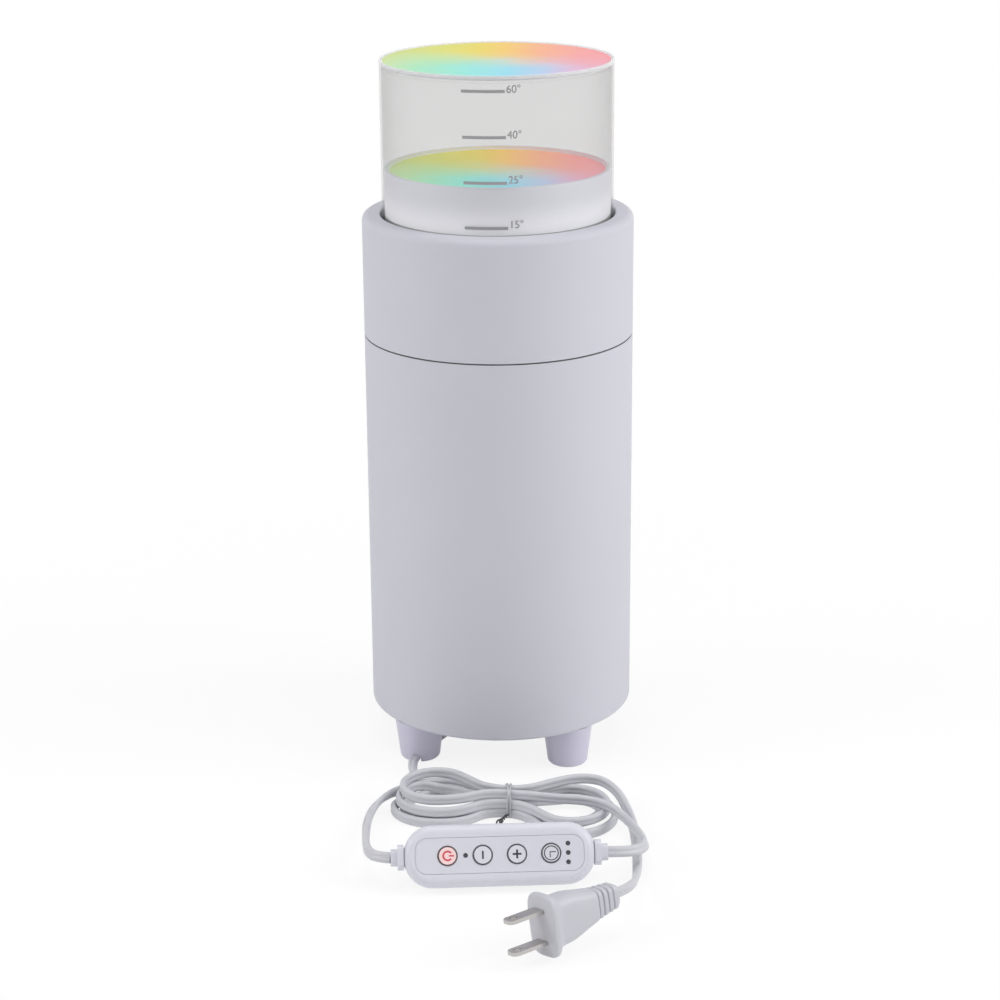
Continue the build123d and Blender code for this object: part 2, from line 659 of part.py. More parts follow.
# Strain reliefs: stepped soft sleeves at both ends of the controller.
case_end = CONTROLLER_LENGTH / 2
relief_collar = (2.6, 10.4, 8.4)
relief_step = (2.8, 7.0, 6.2)
relief_reach = relief_collar[0] + relief_step[0]
reliefs = {}
for side, name in ((-1, "left"), (1, "right")):
    relief = Pos(side * (case_end + relief_collar[0] / 2), 0, 0) * Box(*relief_collar)
    relief = fillet(relief.edges().filter_by(Axis.X), 2.6)
    relief += Pos(side * (case_end - 2.5), 0, 0) * Box(5.0, *neck)
    relief += Pos(side * (case_end - case_wall - 2.6), 0, 0) * Box(2.0, neck[0] + 2.4, neck[1] + 1.0)
    step = Pos(side * (case_end + relief_reach - relief_step[0] / 2), 0, 0) * Box(*relief_step)
    relief += fillet(step.edges().filter_by(Axis.X), 2.0)
    save(f"strain_relief_{name}", controller_place * relief)
    reliefs[name] = Vector(*(controller_place * Pos(side * (case_end + relief_reach), 0, 0)).position)

# Controller lead: leaves the hank's outside, rounds its left end and enters the controller.
left_face = reliefs["left"]
controller_points = [
    hank_end,
    hank_end + end_heading * 10,
    (-55.2, -86.2, 6.2),
    (-60.6, -97.0, 4.2),
    (-63.8, -110.0, 2.4),
    (-65.4, -124.5, 2.4),
    (-66.0, -139.5, 5.4),
    left_face - along * 11.5 + Vector(-8.6, 8.8, -2.2),
    left_face - along * 11.5,
    left_face,
]
lay_cord("controller_lead", [tuple(Vector(*point)) for point in controller_points], cord_radius)

# Plug: two-blade moulded plug standing on a lower corner of its flange.
plug_yaw = radians(PLUG_YAW)
plug_roll = radians(PLUG_ROLL)
plug_back = Vector(cos(plug_yaw), sin(plug_yaw), 0)
plug_tall = Vector(-sin(plug_yaw) * sin(plug_roll), cos(plug_yaw) * sin(plug_roll), cos(plug_roll))
flange_height, flange_width, flange_depth = PLUG_FLANGE
flange_corner = 4.5
flange_lift = (flange_height / 2 - flange_corner) * cos(plug_roll) + flange_corner
flange_lift += (flange_width / 2 - flange_corner) * sin(plug_roll)
plug_centre = Vector(*PLUG_FACE, flange_lift + LAY_GAP)
plug_place = Plane(plug_centre, x_dir=plug_tall, z_dir=plug_back).location


def section(height, width, corner, distance):
    """Rounded section across the plug, lifted as the grip rises towards its tail."""
    rise = PLUG_TAIL_RISE * max(0, distance - flange_depth) / (PLUG_LENGTH - flange_depth)
    return Pos(rise, 0, distance) * RectangleRounded(height, width, corner)


plug = extrude(RectangleRounded(flange_height, flange_width, flange_corner), flange_depth)
plug = fillet(plug.edges().filter_by(Plane.XY), 1.2)
tail_length = 12.0
tail_start = PLUG_LENGTH - tail_length
grip_length = tail_start - flange_depth
plug += loft(
    [
        section(flange_height - 6.4, flange_width - 5.0, 4.0, flange_depth - 1.5),
        section(flange_height - 5.4, flange_width - 4.0, 4.4, flange_depth + 0.3 * grip_length),
        section(flange_height - 8.4, flange_width - 4.6, 4.2, flange_depth + 0.65 * grip_length),
        section(flange_height - 12.4, flange_width - 5.6, 3.8, tail_start),
    ]
)
plug += loft([section(8.6, 7.4, 3.0, tail_start - 1), section(8.6, 7.4, 3.0, PLUG_LENGTH)])
rib_count = 4
rib_pitch = 2.7
for index in range(rib_count):
    shrink = 0.7 * index
    rib = extrude(section(12.8 - shrink, 11.4 - shrink, 3.6, tail_start + 0.9 + rib_pitch * index), 1.8)
    plug += fillet(rib.edges().filter_by(Plane.XY), 0.5)
socket_depth = 7.0
blades = []
for side in (-1, 1):
    plug -= Pos(side * BLADE_SPACING / 2, 0, socket_depth / 2) * Box(BLADE_THICKNESS, BLADE_WIDTH, socket_depth)
    length = BLADE_REACH + socket_depth
    blade = Pos(side * BLADE_SPACING / 2, 0, socket_depth - length / 2) * Box(BLADE_THICKNESS, BLADE_WIDTH, length)
    tip = [edge for edge in blade.edges().filter_by(Axis.X) if edge.center().Z < -BLADE_REACH + 0.01]
    blade = chamfer(tip, 1.5)
    hole = Rot(0, 90, 0) * Cylinder(1.6, 4)
    blades.append(blade - Pos(side * BLADE_SPACING / 2, 0, 3.6 - BLADE_REACH) * hole)
save("plug_body", plug_place * plug)
for blade, name in zip(blades, ("lower", "upper")):
    save(f"plug_blade_{name}", plug_place * blade)

# Plug cord: from the controller over the hank's top, round its left lobe and back out to the plug.
right_face = reliefs["right"]
plug_tail = plug_centre + plug_back * PLUG_LENGTH + plug_tall * PLUG_TAIL_RISE
crest_in = 0.3
crest_out = 0.7


def crest(side, angle, step):
    spot, heading = lobe_spot(side, angle, step, hank_crest)
    return tuple(spot)


def crest_waist(side, step, shift):
    spot, heading = waist_spot(side, step, hank_crest)
    return (spot.X + shift, spot.Y + side * 1.5, spot.Z)


plug_points = [
    tuple(right_face),
    tuple(right_face + along * 10.4),
    tuple(right_face + along * 10.4 + Vector(7.4, 7.2, -3.0)),
    tuple(right_face + along * 10.4 + Vector(8.4, 18.2, -5.4)),
    (61.2, -126.0, 6.6),
    (57.6, -114.0, 7.8),
    (52.5, -103.5, hank_crest),
    (40.0, -100.5, hank_crest),
    (25.0, -106.0, hank_crest),
    crest_waist(-1, crest_in, 8),
    crest_waist(-1, crest_in, -8),
    crest(-1, 285, -0.35),
    crest(-1, 240, 0.2),
    crest(-1, 200, 0.3),
    crest(-1, 160, 0.3),
    crest(-1, 120, 0.2),
    crest(-1, 75, -0.35),
    crest_waist(1, crest_out, -8),
    crest_waist(1, crest_out, 8),
    crest(1, 105, -0.1),
    (38.0, -76.5, hank_crest),
    (50.5, -79.5, hank_crest),
    (59.6, -87.5, 8.6),
    (65.0, -99.0, 4.4),
    (66.4, -113.0, floor_height),
    (66.6, -130.0, floor_height),
    (66.0, -147.0, floor_height),
    (64.2, -163.0, 3.0),
    tuple(plug_tail + plug_back * 18 + Vector(1.8, 3.4, -5.4)),
    tuple(plug_tail + plug_back * 9),
    tuple(plug_tail),
]
lay_cord("plug_cord", plug_points, cord_radius)

# Hank tie: a coated wire round the waist with its two ends twisted together at the front.
tie_front = -(HANK_WAIST + HANK_PITCH + cord_radius + TIE_GAP + TIE_WIRE / 2)
tie_back = HANK_WAIST + 1.5 * HANK_PITCH + cord_radius + TIE_GAP + TIE_WIRE / 2
tie_low = TIE_WIRE / 2 + LAY_GAP
tie_high = hank_crest + cord_radius + TIE_GAP + TIE_WIRE / 2
tie_plane = Plane((hank_x, hank_y, 0), x_dir=(0, 1, 0), z_dir=(1, 0, 0))
tie_outline = Pos((tie_front + tie_back) / 2, (tie_low + tie_high) / 2) * RectangleRounded(
    tie_back - tie_front, tie_high - tie_low, cord_radius + TIE_WIRE / 2
)
tie_path = (tie_plane * tie_outline).wire()
tie = tube(tie_path, TIE_WIRE / 2)
knot_height = hank_low + cord_radius + 1.0
knot_start = Vector(hank_x, hank_y + tie_front, knot_height)
for side in (-1, 1):
    end_heading_x = Vector(0.28 * side - 0.45, -1.0, -0.25).normalized()
    end_plane = Plane(knot_start, z_dir=end_heading_x)
    tie += end_plane.location * Cylinder(TIE_WIRE / 2, 9.0, align=(Align.CENTER, Align.CENTER, Align.MIN))
save("hank_tie", tie)
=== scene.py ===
"""Looks of the uplighter: its finishes, printed marks, cord, tie and plug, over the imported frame."""
import json
import math

import bmesh
import bpy
from mathutils import Matrix, Vector


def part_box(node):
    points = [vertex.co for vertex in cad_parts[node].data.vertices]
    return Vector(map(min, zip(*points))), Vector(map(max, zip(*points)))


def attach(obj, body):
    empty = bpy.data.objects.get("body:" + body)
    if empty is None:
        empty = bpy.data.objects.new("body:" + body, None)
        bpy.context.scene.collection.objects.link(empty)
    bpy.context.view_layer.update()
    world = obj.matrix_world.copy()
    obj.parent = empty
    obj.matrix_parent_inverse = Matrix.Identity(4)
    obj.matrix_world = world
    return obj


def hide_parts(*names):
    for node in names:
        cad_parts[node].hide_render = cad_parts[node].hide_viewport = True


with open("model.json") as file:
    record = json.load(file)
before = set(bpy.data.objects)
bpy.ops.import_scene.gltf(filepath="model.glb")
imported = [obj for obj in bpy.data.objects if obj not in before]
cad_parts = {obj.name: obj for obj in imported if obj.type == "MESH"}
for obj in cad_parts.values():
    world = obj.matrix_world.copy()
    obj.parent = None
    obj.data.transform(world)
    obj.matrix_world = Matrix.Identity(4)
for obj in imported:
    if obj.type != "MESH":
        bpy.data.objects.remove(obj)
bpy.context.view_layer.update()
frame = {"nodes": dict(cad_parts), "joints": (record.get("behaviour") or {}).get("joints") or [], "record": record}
nodes = frame["nodes"]


# Lower shell and collar: two injection-moulded cans in satin off-white plastic with a faint cool cast.
# The collar plugs into the shell at the fine seam, whose groove is painted dark as shade, and its top edge is
# rolled over to a flat rim.
# The fine spark-eroded grain of the mould breaks up their sheen.
class Value:
    """A socket of a finish that can be used in plain arithmetic."""

    def __init__(self, tree, socket=None):
        self.tree = tree
        self.socket = socket

    def node(self, kind, settings=(), inputs=(), output=0):
        """Adds a node with its settings and sockets, and returns one of its outputs."""
        made = self.tree.nodes.new(kind)
        for name, setting in dict(settings).items():
            if name == "stops":
                ramp = made.color_ramp.elements
                ramp[0].position, ramp[0].color = setting[0]
                ramp[1].position, ramp[1].color = setting[-1]
                for place, colour in setting[1:-1]:
                    ramp.new(place).color = colour
            else:
                setattr(made, name, setting)
        for name, given in dict(inputs).items():
            self.feed(made.inputs[name], given)
        return Value(self.tree, made.outputs[output])

    def feed(self, socket, given):
        if isinstance(given, Value):
            self.tree.links.new(given.socket, socket)
        else:
            socket.default_value = given

    def math(self, operation, *terms):
        return self.node("ShaderNodeMath", {"operation": operation}, dict(enumerate(terms)))

    def __add__(self, other):
        return self.math("ADD", self, other)

    def __sub__(self, other):
        return self.math("SUBTRACT", self, other)

    def __rsub__(self, other):
        return self.math("SUBTRACT", other, self)

    def __mul__(self, other):
        return self.math("MULTIPLY", self, other)

    def __truediv__(self, other):
        return self.math("DIVIDE", self, other)

    def __pow__(self, other):
        return self.math("POWER", self, other)

    __radd__ = __add__
    __rmul__ = __mul__


def new_finish(name):
    """An empty finish: the material, a handle on its nodes and its shader's sockets."""
    material = bpy.data.materials.new(name)
    material.use_nodes = True
    shader = material.node_tree.nodes["Principled BSDF"]
    return material, Value(material.node_tree), shader.inputs


def own_place(maker):
    return maker.node("ShaderNodeTexCoord", output="Object")


def axis_of(place, axis):
    return place.node("ShaderNodeSeparateXYZ", {}, {0: place}, output=axis)


def mottle(place, scale, detail=2.0):
    """Soft random patches; a larger scale makes them smaller."""
    return place.node("ShaderNodeTexNoise", {}, {"Vector": place, "Scale": scale, "Detail": detail})


def blend_colours(share, low, high):
    """Runs from one colour to the other; each is three numbers or comes from other nodes."""
    low, high = [colour if isinstance(colour, Value) else (*colour, 1) for colour in (low, high)]
    return share.node("ShaderNodeMix", {"data_type": "RGBA"}, {0: share, 6: low, 7: high}, output=2)


cloud_scale, cloud_dullness = 16.0, 0.955
sheen_spread, grain_strength = 0.06, 0.35


def moulded_plastic(name, colour, roughness, grain_size=0.0006, grain_depth=0.00004, gloss=0.5):
    """Moulded plastic: slight clouding of its colour, uneven sheen and the mould's fine grain."""
    material, maker, shader = new_finish(name)
    place = own_place(maker)
    cloud = mottle(place, cloud_scale, 3.0)
    grain = mottle(place, 1 / grain_size)
    dull = [cloud_dullness * part for part in colour]
    maker.feed(shader["Base Color"], blend_colours(cloud, dull, colour))
    maker.feed(shader["Roughness"], roughness - 0.05 + sheen_spread * cloud + sheen_spread * grain)
    relief = {"Strength": grain_strength, "Distance": grain_depth, "Height": grain}
    maker.feed(shader["Normal"], maker.node("ShaderNodeBump", {}, relief))
    shader["Specular IOR Level"].default_value = gloss
    return material


def reopen(material):
    """A finish's colour so far, which is also a handle on its nodes, and its shader's sockets."""
    shader = material.node_tree.nodes["Principled BSDF"].inputs
    return Value(material.node_tree, shader["Base Color"].links[0].from_socket), shader


def dress(material, *names):
    for name in names:
        nodes[name].data.materials.clear()
        nodes[name].data.materials.append(material)


seam_half_width, groove_inset = 0.00032, 0.0002
seam_painted_shade = (0.12, 0.12, 0.12)
shell_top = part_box("lower_shell")[1]
shell_finish = moulded_plastic("satin_shell", (0.60, 0.60, 0.66), 0.48, gloss=0.1)
plastic, shader = reopen(shell_finish)
place = own_place(plastic)
x, y, z = [axis_of(place, axis) for axis in "XYZ"]
# Painted shade: the deep part of the seam's groove is painted dark, standing in for shadow in the parting gap.
deep = plastic.math("LESS_THAN", x * x + y * y, (shell_top.x - groove_inset) ** 2)
at_seam = plastic.math("LESS_THAN", plastic.math("ABSOLUTE", z - shell_top.z), seam_half_width)
plastic.feed(shader["Base Color"], blend_colours(deep * at_seam, plastic, seam_painted_shade))
dress(shell_finish, "lower_shell", "collar")


# Base: a plain plate screwed up into the shell, with vent slots at the back.
# Four tapered feet in the same plastic are each held by a screw sunk in the foot.
base_finish = moulded_plastic("base_plastic", (0.56, 0.56, 0.62), 0.5)
foot_finish = moulded_plastic("foot_plastic", (0.60, 0.58, 0.70), 0.38, grain_size=0.0009)
dress(base_finish, "base_plate", "chassis_deck")
dress(foot_finish, "foot_1", "foot_2", "foot_3", "foot_4")
line_stretch, line_depth, line_strength = (1.0, 1.0, 8.0), 0.00003, 0.25
line_dullness, line_sheen = 0.8, 0.14


def brushed_metal(name, colour, roughness, line_size):
    """Bare metal with fine drawn lines across its sheen."""
    material, maker, shader = new_finish(name)
    drawn = maker.node("ShaderNodeMapping", {}, {"Vector": own_place(maker), "Scale": line_stretch})
    lines = mottle(drawn, 1 / line_size, 3.0)
    dull = [line_dullness * part for part in colour]
    maker.feed(shader["Base Color"], blend_colours(lines, dull, colour))
    maker.feed(shader["Roughness"], roughness - 0.06 + line_sheen * lines)
    relief = {"Strength": line_strength, "Distance": line_depth, "Height": lines}
    maker.feed(shader["Normal"], maker.node("ShaderNodeBump", {}, relief))
    shader["Metallic"].default_value = 1.0
    return material


screw_finish = brushed_metal("screw_steel", (0.62, 0.62, 0.63), 0.34, 0.0008)
dress(screw_finish, "base_screws", "foot_screws", "deck_screws", "glide_screws")
dress(screw_finish, "drum_screws", "sink_screws", "driver_screws", "controller_screws")


# Works inside the can: a driver board under the deck, and in the drum a finned sink, light board and
# reflector. Little of them shows, only from below through the vents, so they keep plain shop finishes.
sink_finish = brushed_metal("sink_aluminium", (0.66, 0.67, 0.69), 0.36, 0.0016)
board_finish = moulded_plastic("board_laminate", (0.10, 0.30, 0.17), 0.4, grain_size=0.0012)
part_finish = moulded_plastic("driver_plastic", (0.06, 0.06, 0.07), 0.5)
chip_finish = moulded_plastic("chip_plastic", (0.78, 0.70, 0.36), 0.3, grain_size=0.0015)
reflector_finish = moulded_plastic("reflector_plastic", (0.80, 0.80, 0.80), 0.2, grain_size=0.0015)
wire_finish = moulded_plastic("wire_plastic", (0.52, 0.08, 0.07), 0.4)
# The glide and stop rings are made near black so that the gap between sleeve and collar shows a dark line: painted
# shade.
glide_finish_painted_shade = moulded_plastic("glide_plastic", (0.06, 0.06, 0.065), 0.45)
dress(sink_finish, "heat_sink")
dress(board_finish, "driver_board", "light_board", "controller_board")
dress(part_finish, "driver_parts", "controller_switches")
dress(chip_finish, "light_chips")
dress(reflector_finish, "reflector")
dress(wire_finish, "led_wires")
dress(glide_finish_painted_shade, "glide_ring", "stop_ring")


# Light drum: the fixed opaque barrel that the clear sleeve slides over; its rim is the pointer.
# A round film of rainbow colours, with a painted glow, lies in a rebate in its top, just under the rim. The thin
# wall carries a painted glow, most just above the collar, and painted shade in the gap below the collar's rim.
def ease(given, start, end):
    """A share that rises smoothly from 0 at the start to 1 at the end."""
    return given.node(
        "ShaderNodeMapRange",
        {"interpolation_type": "SMOOTHSTEP"},
        {"Value": given, "From Min": start, "From Max": end},
    )


gap_painted_shade, no_painted_glow = (0.6, 0.6, 0.6), (0.0, 0.0, 0.0)
painted_glow_foot, painted_glow_top = (0.33, 0.33, 0.33), (0.05, 0.05, 0.06)
gap_low, gap_high = -0.0006, -0.0001
glow_low, glow_high = -0.001, 0.015
collar_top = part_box("collar")[1].z
drum_finish = moulded_plastic("drum_plastic", (0.87, 0.87, 0.93), 0.35)
plastic, shader = reopen(drum_finish)
z = axis_of(own_place(plastic), "Z")
# Painted shade: the wall below the collar's rim is painted darker. Painted light: above it the wall glows, most
# just above the collar.
above = ease(z, collar_top + gap_low, collar_top + gap_high)
clear = ease(z, collar_top + glow_low, collar_top + glow_high)
painted_glow_wall = blend_colours(clear, painted_glow_foot, painted_glow_top)
plastic.feed(shader["Base Color"], blend_colours(above, gap_painted_shade, plastic))
plastic.feed(shader["Emission Color"], blend_colours(above, no_painted_glow, painted_glow_wall))
shader["Emission Strength"].default_value = 1.0
dress(drum_finish, "light_drum")
warm_hues = (
    (0.00, (0.62, 0.72, 0.26, 1)),
    (0.24, (0.72, 0.74, 0.20, 1)),
    (0.42, (0.84, 0.70, 0.14, 1)),
    (0.54, (0.94, 0.62, 0.18, 1)),
    (0.70, (0.96, 0.48, 0.30, 1)),
    (0.86, (0.95, 0.40, 0.38, 1)),
    (1.00, (0.93, 0.38, 0.42, 1)),
)
cool_hues = (
    (0.00, (0.62, 0.78, 0.42, 1)),
    (0.18, (0.42, 0.82, 0.56, 1)),
    (0.36, (0.32, 0.82, 0.74, 1)),
    (0.54, (0.34, 0.74, 0.88, 1)),
    (0.70, (0.50, 0.64, 0.86, 1)),
    (0.82, (0.74, 0.50, 0.70, 1)),
    (1.00, (0.92, 0.40, 0.48, 1)),
)
drift_scale, drift_reach = 26.0, 0.12
ripple_scale, ripple_reach = 55.0, 0.2
hue_offset, hue_slant = 0.38, 0.24
cool_until, warm_from = 0.18, 0.74
film_edge_width, film_edge_shade, film_gloss = 0.0003, (0.86, 0.86, 0.88), 0.06


def rainbow_film(name, node, film_painted_glow, richness):
    """Dyed film: warm hues across the back, cool hues across the front, softly run together."""
    low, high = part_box(node)
    radius = (high.x - low.x) / 2
    material, maker, shader = new_finish(name)
    place = own_place(maker)
    x, y = axis_of(place, "X"), axis_of(place, "Y")
    drift, ripple = mottle(place, drift_scale), mottle(place, ripple_scale)
    across = x / (2 * radius) + 0.5 + drift_reach * (drift - 0.5)
    along = y / (2 * radius) + hue_offset + ripple_reach * (ripple - 0.5) + hue_slant * across
    warm = maker.node("ShaderNodeValToRGB", {"stops": warm_hues}, {0: across})
    cool = maker.node("ShaderNodeValToRGB", {"stops": cool_hues}, {0: across})
    hue = blend_colours(ease(along, cool_until, warm_from), cool, warm)
    dye = {"Saturation": richness, "Value": 2 - richness, "Color": hue}
    hue = maker.node("ShaderNodeHueSaturation", {}, dye)
    edge = maker.math("GREATER_THAN", x * x + y * y, (radius - film_edge_width) ** 2)
    film = blend_colours(edge, hue, film_edge_shade)
    maker.feed(shader["Base Color"], film)
    # The film's colour is also painted on as a glow of the given strength: painted light.
    maker.feed(shader["Emission Color"], film)
    maker.feed(shader["Roughness"], 0.3 + 0.1 * drift)
    shader["Specular IOR Level"].default_value = film_gloss
    shader["Emission Strength"].default_value = film_painted_glow
    return material


# The drum's film carries a painted glow.
dress(rainbow_film("drum_film", "drum_disc", 0.28, 1.0), "drum_disc")


# Beam sleeve: a smoke-clear acrylic tube that slides up and down to narrow or widen the beam.
# Its sawn top edge is left frosted. It carries a grey printed scale of beam angles, and a second rainbow
# disc is bonded into its top.
frost_start, frost_full = 0.0026, 0.0012
veil, edge_veil, frost_veil = 0.088, 0.5, 0.3
haze_scale, haze_veil = 22.0, 0.03
smoke_shade, frost_and_sheen_colour = (0.14, 0.14, 0.145), (0.80, 0.80, 0.81)
sleeve_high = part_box("beam_sleeve")[1]
sleeve_finish, maker, shader = new_finish("sleeve_plastic")
edge_on = maker.node("ShaderNodeLayerWeight", {}, {"Blend": 0.35}, output="Facing") ** 3
place = own_place(maker)
haze = mottle(place, haze_scale)
frosted = ease(axis_of(place, "Z"), sleeve_high.z - frost_start, sleeve_high.z - frost_full)
# Paler towards the frosted top edge, and painted paler where the wall is seen edge-on: a painted sheen.
frost_and_edge_sheen = maker.math("MAXIMUM", frosted, 0.7 * edge_on)
maker.feed(shader["Base Color"], blend_colours(frost_and_edge_sheen, smoke_shade, frost_and_sheen_colour))
maker.feed(shader["Alpha"], veil + haze_veil * haze + edge_veil * edge_on + frost_veil * frosted)
maker.feed(shader["Roughness"], 0.08 + 0.06 * haze + 0.3 * frosted)
dress(sleeve_finish, "beam_sleeve")
dress(rainbow_film("lens_film", "beam_lens", 0.0, 1.1), "beam_lens")


def new_tree(name, sizes):
    """An empty node tree with a named input for each of its sizes, and handles on those inputs."""
    tree = bpy.data.node_groups.new(name, "GeometryNodeTree")
    tree.interface.new_socket("Mesh", in_out="OUTPUT", socket_type="NodeSocketGeometry")
    for size in sizes:
        tree.interface.new_socket(size, in_out="INPUT", socket_type="NodeSocketFloat")
    entry = tree.nodes.new("NodeGroupInput")
    return Value(tree), [Value(tree, entry.outputs[size]) for size in sizes]


def spot_at(maker, x, y, z):
    return maker.node("ShaderNodeCombineXYZ", {}, {"X": x, "Y": y, "Z": z})


def stand(name, data):
    """A new object in the scene."""
    made = bpy.data.objects.new(name, data)
    bpy.context.collection.objects.link(made)
    return made


def plain_mesh(carrier):
    """An object's finished shape as a mesh of its own."""
    return bpy.data.meshes.new_from_object(carrier.evaluated_get(bpy.context.evaluated_depsgraph_get()))


def grow(maker, shape, sizes, material):
    """Closes a tree with its realised shape in its finish, sets its sizes and returns the plain mesh."""
    whole = maker.node("GeometryNodeRealizeInstances", {}, {"Geometry": shape})
    finished = maker.node("GeometryNodeSetMaterial", {}, {"Geometry": whole, "Material": material})
    maker.feed(maker.tree.nodes.new("NodeGroupOutput").inputs["Mesh"], finished)
    carrier = stand(maker.tree.name, bpy.data.meshes.new(maker.tree.name))
    modifier = carrier.modifiers.new("shape", "NODES")
    modifier.node_group = maker.tree
    for socket in maker.tree.interface.items_tree:
        if socket.in_out == "INPUT":
            modifier[socket.identifier] = sizes[socket.name]
    mesh = plain_mesh(carrier)
    carrier.modifiers.remove(modifier)
    bpy.data.objects.remove(carrier)
    return mesh


sharp_from = math.radians(32)


def new_piece(name, mesh, material, body):
    """A finished piece in place, smooth over its shallow edges, that rides on a body."""
    mesh.materials.clear()
    mesh.materials.append(material)
    for face in mesh.polygons:
        face.use_smooth = True
    mesh.set_sharp_from_angle(angle=sharp_from)
    piece = stand(name, mesh)
    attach(piece, body)
    return piece


scale_sizes = {
    "Radius": sleeve_high.x + 0.00004,
    "First Height": sleeve_high.z - 0.00645,
    "Pitch": 0.01925,
    "Lean": 0.00034,
    "Bar Middle": -0.0059,
    "Bar Length": 0.0185,
    "Bar Height": 0.0013,
    "Number Size": 0.0047,
}
number_gap, number_rise, number_width = 0.0004, 0.0002, (0.96, 1.0, 1.0)
twice_printed = (0.0, 0.00014)
scale_maker, scale_inputs = new_tree("printed_scale", scale_sizes)
radius, first, pitch, lean, middle, length, height, number_size = scale_inputs
bar_grid = {"Size X": length, "Size Y": height, "Vertices X": 25, "Vertices Y": 2}
bar = scale_maker.node("GeometryNodeMeshGrid", {}, bar_grid)
scale_sheet = scale_maker.tree.nodes.new("GeometryNodeJoinGeometry").inputs["Geometry"]
for index, words in enumerate(("60°", "40°", "25°", "15°")):
    level = first - pitch * index
    bar_middle = middle + lean * index
    placed = {0: bar, "Translation": spot_at(scale_maker, bar_middle, level, 0.0)}
    scale_maker.feed(scale_sheet, scale_maker.node("GeometryNodeTransform", {}, placed))
    letters = scale_maker.node("GeometryNodeStringToCurves", {}, {"String": words, "Size": number_size})
    number = scale_maker.node("GeometryNodeFillCurve", {}, {"Curve": letters})
    number_left = bar_middle + length / 2 + number_gap
    number_foot = level - height / 2 + number_rise * index
    for shift in twice_printed:
        corner = spot_at(scale_maker, number_left + shift, number_foot, 0.0)
        placed = {0: number, "Translation": corner, "Scale": number_width}
        scale_maker.feed(scale_sheet, scale_maker.node("GeometryNodeTransform", {}, placed))
flat_marks = Value(scale_maker.tree, scale_sheet.node.outputs[0])
flat_scale = scale_maker.node("GeometryNodeRealizeInstances", {}, {"Geometry": flat_marks})
spot = scale_maker.node("GeometryNodeInputPosition")
around = axis_of(spot, "X") / radius
aside = radius * scale_maker.math("SINE", around)
forward = 0 - radius * scale_maker.math("COSINE", around)
wrapped_spot = spot_at(scale_maker, aside, forward, axis_of(spot, "Y"))
wrapping = {"Geometry": flat_scale, "Position": wrapped_spot}
wrapped = scale_maker.node("GeometryNodeSetPosition", {}, wrapping)
ink_finish = moulded_plastic("grey_ink", (0.32, 0.32, 0.33), 0.5)
scale_mesh = grow(scale_maker, wrapped, scale_sizes, ink_finish)
printed_scale = new_piece("printed_scale", scale_mesh, ink_finish, "beam_tube")


# Controller: an in-line case of two glossy off-white shells with an inset face panel, held by screws.
# Its four round keys have dark printed rims and signs, the power key lit pink, with four small lights.
controller_finish = moulded_plastic("controller_plastic", (0.675, 0.675, 0.745), 0.36, grain_size=0.0008)
pipe_finish = moulded_plastic("pipe_plastic", (0.05, 0.05, 0.06), 0.25)
dress(controller_finish, "controller_front", "controller_back", "controller_panel")
dress(controller_finish, "strain_relief_left", "strain_relief_right")
dress(pipe_finish, "controller_lights")
dark_ink = moulded_plastic("dark_ink", (0.03, 0.03, 0.04), 0.45)
red_ink = moulded_plastic("red_ink", (0.66, 0.07, 0.10), 0.4)
key_white, key_pink, rim_shade = (0.69, 0.69, 0.75), (0.93, 0.68, 0.68), (0.05, 0.05, 0.06)
key_rim, rim_depth = 0.00352, 0.00015
key_cloud_scale, key_dullness = 700.0, 0.96
key_top_slack, print_lift = 0.00002, 0.00003
press_axis = next(joint["axis"] for joint in frame["joints"] if joint["name"] == "power_press")
face_normal = -Vector(press_axis).normalized()
face_along = Vector((0, 0, 1)).cross(face_normal).normalized()
face_up = face_normal.cross(face_along)


def key_cap(name, middle, colour):
    """A key's plastic, its colour up to the dark rim that is printed round its edge."""
    material, maker, shader = new_finish(name)
    place = own_place(maker)
    away = maker.node("ShaderNodeVectorMath", {"operation": "SUBTRACT"}, {0: place, 1: middle})
    span = maker.node("ShaderNodeVectorMath", {"operation": "LENGTH"}, {0: away}, output="Value")
    facing = {0: away, 1: face_normal}
    depth = maker.node("ShaderNodeVectorMath", {"operation": "DOT_PRODUCT"}, facing, output="Value")
    cloud = mottle(place, key_cloud_scale)
    rim = maker.math("GREATER_THAN", span * span - depth * depth, key_rim**2)
    rim = rim * maker.math("GREATER_THAN", depth, -rim_depth)
    cap = blend_colours(cloud, [key_dullness * part for part in colour], colour)
    maker.feed(shader["Base Color"], blend_colours(rim, cap, rim_shade))
    maker.feed(shader["Roughness"], 0.3 + 0.08 * cloud)
    return material


def arc_strip(inner, outer, start=0.0, turn=360.0, steps=48):
    """Part of a ring round a key's middle, as pairs of points."""
    strip = []
    for step in range(steps + 1):
        angle = math.radians(start + turn * step / steps)
        strip.append([(r * math.cos(angle), r * math.sin(angle)) for r in (inner, outer)])
    return strip


def bar_strip(x, y, length, width):
    """A straight bar along the case, as pairs of points."""
    ends = (x - length / 2, x + length / 2)
    return [[(end, y - width / 2), (end, y + width / 2)] for end in ends]


def face_print(name, strips, material, middle, body):
    """Flat print on a key, drawn as strips round the key's middle."""
    drawn = bmesh.new()
    for strip in strips:
        pairs = []
        for pair in strip:
            spots = [middle + face_along * x + face_up * y + face_normal * print_lift for x, y in pair]
            pairs.append([drawn.verts.new(spot) for spot in spots])
        for near, far in zip(pairs, pairs[1:]):
            drawn.faces.new((near[0], far[0], far[1], near[1]))
    for face in drawn.faces:
        face.normal_update()
        if face.normal.dot(face_normal) < 0:
            face.normal_flip()
    mesh = bpy.data.meshes.new(name)
    drawn.to_mesh(mesh)
    drawn.free()
    piece = new_piece(name, mesh, material, body)
    return piece


